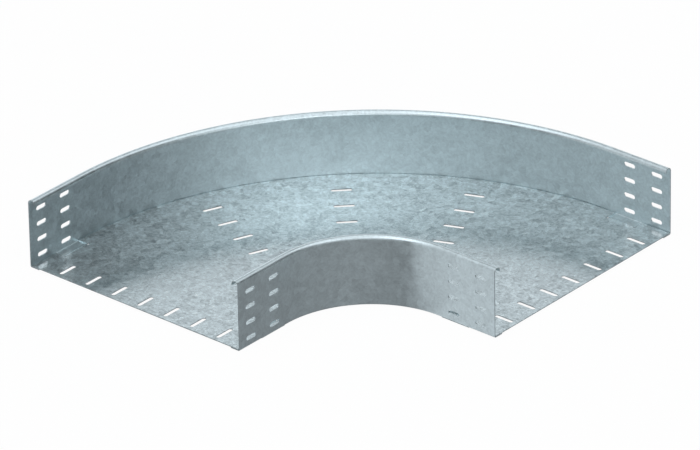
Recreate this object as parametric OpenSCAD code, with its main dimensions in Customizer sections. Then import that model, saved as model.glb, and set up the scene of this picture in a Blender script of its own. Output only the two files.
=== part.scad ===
// Horizontal ninety-degree bend for a perforated cable tray: a flat floor plate
// between two curved side rails, all folded from strip-galvanised steel sheet.
// The frame has +Z up, its origin under the middle of the bounding box, and the
// two open ends facing -X and -Y, so the inner rail is at the corner towards -X -Y.

/* [Tray] */
// Width across the outside faces of the two side rails
tray_w = 400; // [300:10:600]
// Height of a side rail, from its bottom flange to the top of its lip
rail_h = 110; // [105:1:150]
// Radius of the inner rail's outside face
bend_r = 152; // [100:1:300]
// Length of the straight stretch at each end
straight_l = 103; // [103:1:200]
// Thickness of the sheet
sheet = 1.5; // [1:0.1:1.6]

/* [Side rails] */
// Width of the bottom flange, clear of the wall
flange_w = 15; // [10:0.5:15]
// Inside radius of the fold between wall and flange
fold_r = 1; // [0.8:0.1:1]
// Width of the half-round lip along the top edge
lip_w = 12.5; // [10:0.5:14]
// Length of the lip's straight edge, pointing down
lip_drop = 1; // [0.5:0.1:3]

/* [Slots for the couplers in the rails] */
// Length of a slot, end to end
rail_slot_l = 20; // [16:0.5:25]
// Height of a slot
rail_slot_h = 7; // [6:0.1:9]
// Distance of the first column from the end of the rail
rail_slot_first = 25; // [20:0.5:27]
// Distance between the two columns
rail_slot_pitch = 50; // [40:1:55]
// Height of the lowest row over the underside of the flange
rail_row_first = 13.5; // [12:0.5:15]
// Distance between rows
rail_row_pitch = 25; // [20:1:25]

/* [Slots in the floor] */
// Length of a slot, end to end
floor_slot_l = 32; // [20:1:36]
// Width of a slot
floor_slot_w = 7; // [5:0.1:9]
// Distance of the end row's slot centres from the end of the tray
floor_row_end = 23; // [20:0.5:26]
// Distance of the first slot from the inside of the outer rail
floor_slot_first = 50; // [40:1:60]
// Distance from slot to slot
floor_slot_pitch = 50; // [50:1:60]
// Number of slots in each row across the bend
bend_slots = 4; // [1:1:4]
// Number of rows across the bend
bend_rows = 3; // [1:1:5]

/* [Lugs that hook the floor under the flanges] */
// Distance of a lug from the end of the tray
lug_first = 50; // [46:1:52]
// Length of a lug along the rail
lug_l = 50; // [30:1:50]
// Distance from the rail's wall to the start of the lug's fold
lug_fold = 19.5; // [19:0.1:21]
// Diameter of the relief hole at each corner of a lug
relief_d = 4; // [3:0.1:5]

/* [Hidden] */
$fn = 96;

outer_r = bend_r + tray_w;
middle = (outer_r - straight_l) / 2;
rail_rows = 4;
rail_columns = 2;
slit_gap = 0.2;
fold_lap = 3;
cut_through = 10;

// An end row is filled with slots as far as the inner rail
end_slots = floor((tray_w - floor_slot_first) / floor_slot_pitch);

// Heights: the lugs lie lowest, the flanges rest on them, the floor on the flanges
flange_z = sheet;
floor_z = 2 * sheet;

// The floor's edges stop where the fold of the rails begins
floor_r_in = bend_r + sheet + fold_r;
floor_r_out = outer_r - sheet - fold_r;
first_slot_r = outer_r - sheet - floor_slot_first;

// A lug's joggle: two equal folds and the ramp between them, which falls 4 over a run of 3
lug_angle = atan2(4, 3);
joggle_mid_r = fold_r + sheet / 2;
joggle_rise = 2 * sheet;
ramp_l = (joggle_rise - 2 * joggle_mid_r * (1 - cos(lug_angle))) / sin(lug_angle);
joggle_run = 2 * joggle_mid_r * sin(lug_angle) + ramp_l * cos(lug_angle);
lug_flat_end = lug_fold - joggle_run;

steel_pale = [0.72, 0.77, 0.79];
steel_mid = [0.60, 0.65, 0.67];

// Slot outline with round ends, centred, its length along X
module slot_outline(length, width) {
    square([length - width, width], center = true);
    for (side = [-1, 1])
        translate([side * (length - width) / 2, 0])
            circle(d = width);
}

// Cross-section of a fold: a sheet's thickness bent round the origin
module fold_section(inside, from, to) {
    reach = 2 * (inside + sheet);
    intersection() {
        difference() {
            circle(r = inside + sheet);
            circle(r = inside);
        }
        polygon([
            [0, 0],
            reach * [cos(from), sin(from)],
            reach * [cos((from + to) / 2), sin((from + to) / 2)],
            reach * [cos(to), sin(to)]
        ]);
    }
}

// Cross-section of a side rail: X runs from the wall's outside face into the tray
module rail_section() {
    fold_c = sheet + fold_r;
    lip_r = lip_w / 2;
    lip_z = rail_h - lip_r;
    translate([0, fold_c])
        square([sheet, lip_z - fold_c]);
    translate([fold_c, fold_c])
        fold_section(fold_r, 180, 270);
    translate([fold_c, 0])
        square([flange_w + sheet - fold_c, sheet]);
    translate([lip_r, lip_z])
        fold_section(lip_r - sheet, 0, 180);
    translate([lip_w - sheet, lip_z - lip_drop])
        square([sheet, lip_drop]);
}

// A cross-section drawn over radius and height, run round the bend and along both ends
module run_round_bend() {
    rotate_extrude(angle = 90)
        children();
    rotate([90, 0, 0])
        linear_extrude(straight_l)
            children();
    translate([-straight_l, 0, 0])
        rotate([90, 0, 90])
            linear_extrude(straight_l)
                children();
}

// Two columns and four rows of coupler slots, cut through a wall across X at each end
module coupler_slots(wall_r) {
    for (column = [0 : rail_columns - 1], row = [0 : rail_rows - 1]) {
        along = straight_l - rail_slot_first - column * rail_slot_pitch;
        up = rail_row_first + row * rail_row_pitch;
        translate([wall_r - cut_through / 2, -along, up])
            rotate([90, 0, 90])
                linear_extrude(cut_through)
                    slot_outline(rail_slot_l, rail_slot_h);
    }
}

// What is drawn at the -Y end, and its mirror image at the -X end
module at_both_ends() {
    children();
    mirror([1, -1, 0])
        children();
}

// Outer rail: its lip and flange turn inwards, to a smaller radius
module outer_rail() {
    color(steel_mid)
        translate([-middle, -middle, flange_z])
            difference() {
                run_round_bend()
                    translate([outer_r, 0])
                        mirror([1, 0])
                            rail_section();
                at_both_ends()
                    coupler_slots(outer_r - sheet / 2);
            }
}

// Inner rail: the same section, its lip and flange turned to a larger radius
module inner_rail() {
    color(steel_mid)
        translate([-middle, -middle, flange_z])
            difference() {
                run_round_bend()
                    translate([bend_r, 0])
                        rail_section();
                at_both_ends()
                    coupler_slots(bend_r + sheet / 2);
            }
}

// Plan of the floor without its holes
module floor_plan() {
    difference() {
        intersection() {
            circle(r = floor_r_out);
            square(floor_r_out);
        }
        circle(r = floor_r_in);
    }
    at_both_ends()
        translate([floor_r_in, -straight_l])
            square([floor_r_out - floor_r_in, straight_l]);
}

// The end row of floor slots, each lying along the tray
module end_row() {
    for (i = [0 : end_slots - 1])
        translate([first_slot_r - i * floor_slot_pitch, floor_row_end - straight_l])
            rotate(90)
                slot_outline(floor_slot_l, floor_slot_w);
}

// Rows across the bend, each slot square to its row
module rows_across_bend() {
    for (row = [1 : bend_rows], i = [0 : bend_slots - 1])
        rotate(row * 90 / (bend_rows + 1))
            translate([first_slot_r - i * floor_slot_pitch, 0])
                rotate(90)
                    slot_outline(floor_slot_l, floor_slot_w);
}

// Runs what is drawn at the outer rail's lug, measured from the wall, at both rails
module at_both_walls() {
    translate([outer_r - sheet, lug_first - straight_l])
        mirror([1, 0])
            children();
    translate([bend_r + sheet, lug_first - straight_l])
        children();
}

// Opening that a lug leaves in the floor
module lug_opening() {
    translate([-sheet, 0])
        square([sheet + lug_fold, lug_l]);
}

// Relief holes at a lug's two inner corners, through the floor and the fold
module relief_holes() {
    for (along = [0, lug_l])
        translate([lug_fold, along, 0])
            cylinder(d = relief_d, h = cut_through);
}

// Plan of the floor with its slots and the openings over its lugs
module floor_outline() {
    difference() {
        floor_plan();
        rows_across_bend();
        at_both_ends() {
            end_row();
            at_both_walls()
                lug_opening();
        }
    }
}

// Section of a lug: out of the floor, down a ramp and flat under the flange
module lug_section() {
    translate([fold_r, -sheet])
        square([lug_flat_end - fold_r, sheet]);
    translate([lug_flat_end, fold_r])
        fold_section(fold_r, 270, 270 + lug_angle);
    translate([lug_fold, sheet - fold_r])
        fold_section(fold_r, 90, 90 + lug_angle);
    translate([lug_fold, sheet - fold_r])
        rotate(90 + lug_angle)
            translate([fold_r, 0])
                square([sheet, ramp_l]);
    translate([lug_fold, sheet])
        square([fold_lap, sheet]);
}

// One lug, its length along Y
module lug() {
    translate([0, slit_gap, 0])
        rotate([90, 0, 180])
            mirror([1, 0, 0])
                linear_extrude(lug_l - 2 * slit_gap)
                    lug_section();
}

// Floor plate: flat, slotted, with two lugs at each end
module floor_plate() {
    color(steel_pale)
        translate([-middle, -middle, 0])
            difference() {
                union() {
                    translate([0, 0, floor_z])
                        linear_extrude(sheet)
                            floor_outline();
                    translate([0, 0, flange_z])
                        at_both_ends()
                            at_both_walls()
                                lug();
                }
                at_both_ends()
                    at_both_walls()
                        relief_holes();
            }
}

floor_plate();
outer_rail();
inner_rail();
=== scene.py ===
"""Cable tray bend: zinc finish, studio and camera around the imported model.

Lengths are in metres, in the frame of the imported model: +Z up, open ends towards -X and -Y.
"""
import math

import bpy
from mathutils import Matrix, Vector

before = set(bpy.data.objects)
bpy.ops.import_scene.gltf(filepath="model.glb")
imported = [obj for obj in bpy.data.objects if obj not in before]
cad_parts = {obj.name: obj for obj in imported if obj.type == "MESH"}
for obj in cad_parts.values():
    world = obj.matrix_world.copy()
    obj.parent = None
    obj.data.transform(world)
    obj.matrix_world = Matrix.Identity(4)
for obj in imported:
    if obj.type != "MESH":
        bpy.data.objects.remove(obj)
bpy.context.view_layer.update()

# Camera, as the photograph was taken: a long lens from above the inner corner
PHOTO_WIDTH = 700
SENSOR_WIDTH = 36.0
FOCAL_PIXELS = 7422.0
CAMERA_AZIMUTH = math.radians(49.05)
CAMERA_ELEVATION = math.radians(28.00)
CAMERA_ROLL = math.radians(-1.01)
CAMERA_DISTANCE = 10.777
CAMERA_TARGET = Vector((0.0581, 0.0524, 0.0015))

# Studio floor: its paper, and how much of the part's shadow shows on the white
FLOOR_SIZE = 60.0
FLOOR_HEIGHT = -0.001
FLOOR_SHADOW = 0.03
PAPER_COLOUR = (0.9, 0.9, 0.9, 1)

# Soft boxes of the studio's light tent, all of one spread: azimuth and elevation in degrees, level
LIGHT_COLOUR = (0.95, 1.0, 1.04, 1.0)
BOX_SPREAD = math.radians(12)
SOFT_BOXES = {
    "front": (-135, 14, 1.26),
    "front_high": (-150, 56, 1.09),
    "front_left": (-155, 21, 0.45),
    "front_right": (-115, 8, 2.40),
    "front_right_high": (-97, 52, 1.22),
    "front_right_low": (-95, 1, 0.38),
    "right_low": (-74, -5, 0.30),
    "right_high": (-65, 59, 1.14),
    "right_back_high": (-12, 54, 1.23),
    "back": (35, 18, 0.82),
    "back_ground": (43, 1, 0.17),
    "back_low": (56, 11, 1.10),
    "top_back": (53, 72, 1.40),
    "top_left": (105, 66, 0.94),
    "left": (133, 31, 0.56),
    "left_low": (148, -4, 1.51),
    "left_top": (158, 60, 1.23),
    "left_high": (178, 49, 1.38),
}

# Levels of the cards that shape the reflections in the sides of the tray, hidden from the camera
DARK_CARD_LEVEL = 0.26
PALE_CARD_LEVEL = 0.64

# Upright card in the inner corner: near lower corner, heading and size
CARD_START = (-0.108, -0.182)
CARD_HEADING = math.radians(-160)
CARD_LENGTH = 0.46
CARD_HEIGHT = 0.16

# Where the cards next to the inner rail turn from dark to pale: centre, first and last distance from it
FADE_CENTRE = (-0.082, -0.1725)
FADE = (0.002, 0.052)

# Cards on the ground: height, how far they reach, and the lines around the tray that their corners are on
GROUND_CARD_HEIGHT = -0.0005
CARD_REACH = 2.6
CARD_SIDE = 0.8
PALE_CARD_END = -0.62
TRAY_HALF = 0.33
INNER_WALL = -0.072

# Zinc finish of each piece: base colour, metal share, roughness, shade of crystals and flecks,
# relief in metres
ZINC = (0.69, 0.77, 0.79)
FLOOR_FINISH = {
    "colour": ZINC, "metal": 0.85, "roughness": 0.20, "tone": 0.34, "fleck": 0.46, "relief": 0.00010,
}
RAIL_FINISH = {
    "colour": ZINC, "metal": 1.0, "roughness": 0.36, "tone": 0.10, "fleck": 0.17, "relief": 0.00006,
}
FINISHES = {"floor_plate": FLOOR_FINISH, "outer_rail": RAIL_FINISH, "inner_rail": RAIL_FINISH}

# Size of crystals and flecks in metres, how the flecks are drawn out, raised and set off,
# and how much the gloss differs from crystal to crystal
CRYSTAL_SIZE = 0.010
FLECK_SIZE = 0.0042
FLECK_STRETCH = 0.45
FLECK_RELIEF = 0.5
FLECK_CONTRAST = 2.5
CRYSTAL_GLOSS = 0.10


def camera_axes():
    """Right, up and back directions of the camera, its roll included."""
    level = math.cos(CAMERA_ELEVATION)
    back = Vector((
        -math.sin(CAMERA_AZIMUTH) * level,
        -math.cos(CAMERA_AZIMUTH) * level,
        math.sin(CAMERA_ELEVATION),
    ))
    right = (-back).cross(Vector((0, 0, 1))).normalized()
    up = right.cross(-back)
    turn, lean = math.cos(CAMERA_ROLL), math.sin(CAMERA_ROLL)
    return right * turn + up * lean, up * turn - right * lean, back


def add_camera():
    right, up, back = camera_axes()
    data = bpy.data.cameras.new("camera")
    data.sensor_width = SENSOR_WIDTH
    data.lens = FOCAL_PIXELS * SENSOR_WIDTH / PHOTO_WIDTH
    data.clip_end = 100.0
    camera = bpy.data.objects.new("camera", data)
    place = CAMERA_TARGET + back * CAMERA_DISTANCE
    camera.matrix_world = Matrix((
        (right.x, up.x, back.x, place.x),
        (right.y, up.y, back.y, place.y),
        (right.z, up.z, back.z, place.z),
        (0, 0, 0, 1),
    ))
    bpy.context.scene.collection.objects.link(camera)
    bpy.context.scene.camera = camera


def link(tree, start, end):
    tree.links.new(start, end)


def add_node(tree, kind, **settings):
    node = tree.nodes.new(kind)
    for name, value in settings.items():
        if name == "values":
            for socket, number in value.items():
                node.inputs[socket].default_value = number
        else:
            setattr(node, name, value)
    return node


def seen_as_background(tree):
    """1 for rays that show the background: straight from the camera, mirrored, or through glass."""
    path = add_node(tree, "ShaderNodeLightPath")
    first = add_node(tree, "ShaderNodeMath", operation="MAXIMUM")
    both = add_node(tree, "ShaderNodeMath", operation="MAXIMUM")
    link(tree, path.outputs["Is Camera Ray"], first.inputs[0])
    link(tree, path.outputs["Is Glossy Ray"], first.inputs[1])
    link(tree, first.outputs[0], both.inputs[0])
    link(tree, path.outputs["Is Transmission Ray"], both.inputs[1])
    return both.outputs[0]


def direction(azimuth, elevation):
    """Unit vector towards an azimuth and elevation in degrees."""
    around, up = math.radians(azimuth), math.radians(elevation)
    return (math.cos(around) * math.cos(up), math.sin(around) * math.cos(up), math.sin(up))


def add_world():
    """Light tent: soft boxes that fade out by angle, added up."""
    world = bpy.data.worlds.new("light_tent")
    world.use_nodes = True
    tree = world.node_tree
    tree.nodes.clear()
    look = add_node(tree, "ShaderNodeTexCoord")
    sharp = 1 / BOX_SPREAD ** 2
    total = None
    for azimuth, elevation, level in SOFT_BOXES.values():
        towards = add_node(tree, "ShaderNodeVectorMath", operation="DOT_PRODUCT",
                           values={1: direction(azimuth, elevation)})
        link(tree, look.outputs["Generated"], towards.inputs[0])
        off_axis = add_node(tree, "ShaderNodeMath", operation="MULTIPLY_ADD", values={1: sharp, 2: -sharp})
        link(tree, towards.outputs["Value"], off_axis.inputs[0])
        fall = add_node(tree, "ShaderNodeMath", operation="EXPONENT")
        link(tree, off_axis.outputs[0], fall.inputs[0])
        add = add_node(tree, "ShaderNodeMath", operation="MULTIPLY_ADD", values={1: level, 2: 0.0})
        link(tree, fall.outputs[0], add.inputs[0])
        if total is not None:
            link(tree, total, add.inputs[2])
        total = add.outputs[0]
    light = add_node(tree, "ShaderNodeBackground", values={"Color": LIGHT_COLOUR})
    out = add_node(tree, "ShaderNodeOutputWorld")
    link(tree, total, light.inputs["Strength"])
    link(tree, light.outputs[0], out.inputs["Surface"])
    bpy.context.scene.world = world


def add_floor():
    """White paper: plain white to camera, glossy and transmission rays, apart from the part's shadow."""
    bpy.ops.mesh.primitive_plane_add(size=FLOOR_SIZE, location=(0, 0, FLOOR_HEIGHT))
    floor = bpy.context.object
    floor.name = "studio_floor"
    material = bpy.data.materials.new("studio_floor")
    material.use_nodes = True
    tree = material.node_tree
    tree.nodes.clear()
    paper = add_node(tree, "ShaderNodeBsdfDiffuse", values={"Color": PAPER_COLOUR})
    white = add_node(tree, "ShaderNodeEmission", values={"Color": (1, 1, 1, 1), "Strength": 1.0})
    keep = add_node(tree, "ShaderNodeMath", operation="MULTIPLY", values={1: 1 - FLOOR_SHADOW})
    mix = add_node(tree, "ShaderNodeMixShader")
    out = add_node(tree, "ShaderNodeOutputMaterial")
    link(tree, seen_as_background(tree), keep.inputs[0])
    link(tree, keep.outputs[0], mix.inputs[0])
    link(tree, paper.outputs[0], mix.inputs[1])
    link(tree, white.outputs[0], mix.inputs[2])
    link(tree, mix.outputs[0], out.inputs["Surface"])
    floor.data.materials.append(material)


def card_material(name, start_level, level, back_level):
    """Matt card whose front fades from one level next to the inner rail to another, with a plain back."""
    material = bpy.data.materials.new(name)
    material.use_nodes = True
    tree = material.node_tree
    tree.nodes.clear()
    place = add_node(tree, "ShaderNodeTexCoord")
    away = add_node(tree, "ShaderNodeVectorMath", operation="DISTANCE", values={1: (*FADE_CENTRE, 0)})
    fade = add_node(tree, "ShaderNodeMapRange", interpolation_type="SMOOTHSTEP",
                    values={"From Min": FADE[0], "From Max": FADE[1], "To Min": start_level, "To Max": level})
    side = add_node(tree, "ShaderNodeNewGeometry")
    both = add_node(tree, "ShaderNodeMix", data_type="FLOAT", values={"B": back_level})
    face = add_node(tree, "ShaderNodeEmission", values={"Color": LIGHT_COLOUR})
    out = add_node(tree, "ShaderNodeOutputMaterial")
    link(tree, place.outputs["Object"], away.inputs[0])
    link(tree, away.outputs["Value"], fade.inputs["Value"])
    link(tree, side.outputs["Backfacing"], both.inputs["Factor"])
    link(tree, fade.outputs[0], both.inputs["A"])
    link(tree, both.outputs[0], face.inputs["Strength"])
    link(tree, face.outputs[0], out.inputs["Surface"])
    return material


def add_card(name, corners, material):
    """Card that only the part's reflections see."""
    mesh = bpy.data.meshes.new(name)
    mesh.from_pydata(corners, [], [tuple(range(len(corners)))])
    card = bpy.data.objects.new(name, mesh)
    bpy.context.scene.collection.objects.link(card)
    mesh.materials.append(material)
    card.visible_camera = False
    card.visible_diffuse = False
    card.visible_shadow = False
    card.visible_transmission = False


def add_cards():
    """An upright card that stands in the inner corner, and cards on the ground on either side of it."""
    start = Vector((*CARD_START, 0))
    heading = Vector((math.cos(CARD_HEADING), math.sin(CARD_HEADING), 0))
    end = start + heading * CARD_LENGTH
    top = Vector((0, 0, CARD_HEIGHT))
    graded = card_material("graded_card", DARK_CARD_LEVEL, PALE_CARD_LEVEL, DARK_CARD_LEVEL)
    dark = card_material("dark_card", DARK_CARD_LEVEL, DARK_CARD_LEVEL, DARK_CARD_LEVEL)
    add_card("upright_card", [start + top, end + top, end, start], graded)

    far = start + heading * CARD_REACH
    near = Vector((*FADE_CENTRE, 0))
    left_ground = [
        far.xy, (-CARD_REACH, far.y), (-CARD_REACH, CARD_SIDE), (-TRAY_HALF, CARD_SIDE),
        (-TRAY_HALF, TRAY_HALF), (TRAY_HALF, TRAY_HALF), (TRAY_HALF, -TRAY_HALF),
        (INNER_WALL, -TRAY_HALF), (INNER_WALL, near.y), near.xy,
    ]
    pale_ground = [
        near.xy, end.xy, (end.x, PALE_CARD_END), (INNER_WALL, PALE_CARD_END), (INNER_WALL, near.y),
    ]
    right_ground = [
        (INNER_WALL, -TRAY_HALF), (CARD_SIDE, -TRAY_HALF), (CARD_SIDE, -CARD_REACH),
        (far.x, -CARD_REACH), far.xy, end.xy, (end.x, PALE_CARD_END), (INNER_WALL, PALE_CARD_END),
    ]
    grounds = (
        ("left_ground", left_ground, dark),
        ("right_ground", right_ground, dark),
        ("pale_ground", pale_ground, graded),
    )
    for name, outline, material in grounds:
        add_card(name, [(x, y, GROUND_CARD_HEIGHT) for x, y in outline], material)


def spangle_group():
    """Zinc spangle: crystals with ragged borders, each crossed by fine flecks along its own direction.

    Tone is the crystal's own shade, Fleck the fine streaks in it, and Height a relief of the streaks
    on a wavy ground.
    """
    group = bpy.data.node_groups.new("zinc_spangle", "ShaderNodeTree")
    face = group.interface
    for name in ("Crystal Size", "Fleck Size", "Fleck Relief"):
        face.new_socket(name=name, in_out="INPUT", socket_type="NodeSocketFloat")
    for name in ("Tone", "Fleck", "Height"):
        face.new_socket(name=name, in_out="OUTPUT", socket_type="NodeSocketFloat")
    given = add_node(group, "NodeGroupInput")
    result = add_node(group, "NodeGroupOutput")
    place = add_node(group, "ShaderNodeTexCoord").outputs["Object"]

    density = add_node(group, "ShaderNodeMath", operation="DIVIDE", values={0: 1.0})
    link(group, given.outputs["Crystal Size"], density.inputs[1])
    waver = add_node(group, "ShaderNodeTexNoise", values={"Detail": 3.0, "Roughness": 0.65})
    link(group, place, waver.inputs["Vector"])
    link(group, density.outputs[0], waver.inputs["Scale"])
    push = add_node(group, "ShaderNodeVectorMath", operation="SCALE")
    link(group, waver.outputs["Color"], push.inputs[0])
    link(group, given.outputs["Crystal Size"], push.inputs["Scale"])
    ragged = add_node(group, "ShaderNodeVectorMath", operation="ADD")
    link(group, place, ragged.inputs[0])
    link(group, push.outputs[0], ragged.inputs[1])
    crystals = add_node(group, "ShaderNodeTexVoronoi", feature="F1")
    link(group, ragged.outputs[0], crystals.inputs["Vector"])
    link(group, density.outputs[0], crystals.inputs["Scale"])

    turn = add_node(group, "ShaderNodeVectorMath", operation="SCALE", values={"Scale": 2 * math.pi})
    link(group, crystals.outputs["Color"], turn.inputs[0])
    turned = add_node(group, "ShaderNodeVectorRotate", rotation_type="EULER_XYZ")
    link(group, place, turned.inputs["Vector"])
    link(group, turn.outputs[0], turned.inputs["Rotation"])
    drawn_out = add_node(group, "ShaderNodeVectorMath", operation="MULTIPLY",
                         values={1: (FLECK_STRETCH, 1.0, 1.0)})
    link(group, turned.outputs[0], drawn_out.inputs[0])
    fineness = add_node(group, "ShaderNodeMath", operation="DIVIDE", values={0: 1.0})
    link(group, given.outputs["Fleck Size"], fineness.inputs[1])
    flecks = add_node(group, "ShaderNodeTexNoise", values={"Detail": 2.0, "Roughness": 0.55})
    link(group, drawn_out.outputs[0], flecks.inputs["Vector"])
    link(group, fineness.outputs[0], flecks.inputs["Scale"])

    shade = add_node(group, "ShaderNodeSeparateColor")
    link(group, crystals.outputs["Color"], shade.inputs[0])
    tone = add_node(group, "ShaderNodeMath", operation="SUBTRACT", values={1: 0.5})
    link(group, shade.outputs[0], tone.inputs[0])
    fleck = add_node(group, "ShaderNodeMath", operation="MULTIPLY_ADD",
                     values={1: FLECK_CONTRAST, 2: -FLECK_CONTRAST / 2})
    link(group, flecks.outputs["Fac"], fleck.inputs[0])
    height = add_node(group, "ShaderNodeMath", operation="MULTIPLY_ADD")
    link(group, fleck.outputs[0], height.inputs[0])
    link(group, given.outputs["Fleck Relief"], height.inputs[1])
    link(group, waver.outputs["Fac"], height.inputs[2])
    link(group, tone.outputs[0], result.inputs["Tone"])
    link(group, fleck.outputs[0], result.inputs["Fleck"])
    link(group, height.outputs[0], result.inputs["Height"])
    return group


def zinc(name, spangle, colour, metal, roughness, tone, fleck, relief):
    """Galvanised sheet: metal whose shade and gloss vary from crystal to crystal, with flecks in low relief."""
    material = bpy.data.materials.new(name)
    material.use_nodes = True
    tree = material.node_tree
    shader = tree.nodes["Principled BSDF"]
    shader.inputs["Metallic"].default_value = metal
    grain = add_node(tree, "ShaderNodeGroup", node_tree=spangle,
                     values={"Crystal Size": CRYSTAL_SIZE, "Fleck Size": FLECK_SIZE,
                             "Fleck Relief": FLECK_RELIEF})

    crystal_gain = add_node(tree, "ShaderNodeMath", operation="MULTIPLY_ADD", values={1: tone, 2: 1.0})
    link(tree, grain.outputs["Tone"], crystal_gain.inputs[0])
    gain = add_node(tree, "ShaderNodeMath", operation="MULTIPLY_ADD", values={1: fleck})
    link(tree, grain.outputs["Fleck"], gain.inputs[0])
    link(tree, crystal_gain.outputs[0], gain.inputs[2])
    tint = add_node(tree, "ShaderNodeVectorMath", operation="SCALE", values={0: colour})
    link(tree, gain.outputs[0], tint.inputs["Scale"])
    link(tree, tint.outputs[0], shader.inputs["Base Color"])

    gloss = add_node(tree, "ShaderNodeMath", operation="MULTIPLY_ADD",
                     values={1: CRYSTAL_GLOSS, 2: roughness})
    link(tree, grain.outputs["Tone"], gloss.inputs[0])
    link(tree, gloss.outputs[0], shader.inputs["Roughness"])

    bump = add_node(tree, "ShaderNodeBump", values={"Strength": 1.0, "Distance": relief})
    link(tree, grain.outputs["Height"], bump.inputs["Height"])
    link(tree, bump.outputs["Normal"], shader.inputs["Normal"])
    return material


def finish_nodes():
    spangle = spangle_group()
    for node, finish in FINISHES.items():
        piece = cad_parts[node]
        slot = piece.data.materials[0].name if piece.data.materials else node
        material = zinc(slot + "_zinc", spangle, **finish)
        for index in range(len(piece.material_slots)):
            piece.material_slots[index].material = material


add_camera()
add_world()
add_floor()
add_cards()
finish_nodes()
bpy.context.scene.view_settings.view_transform = "Standard"
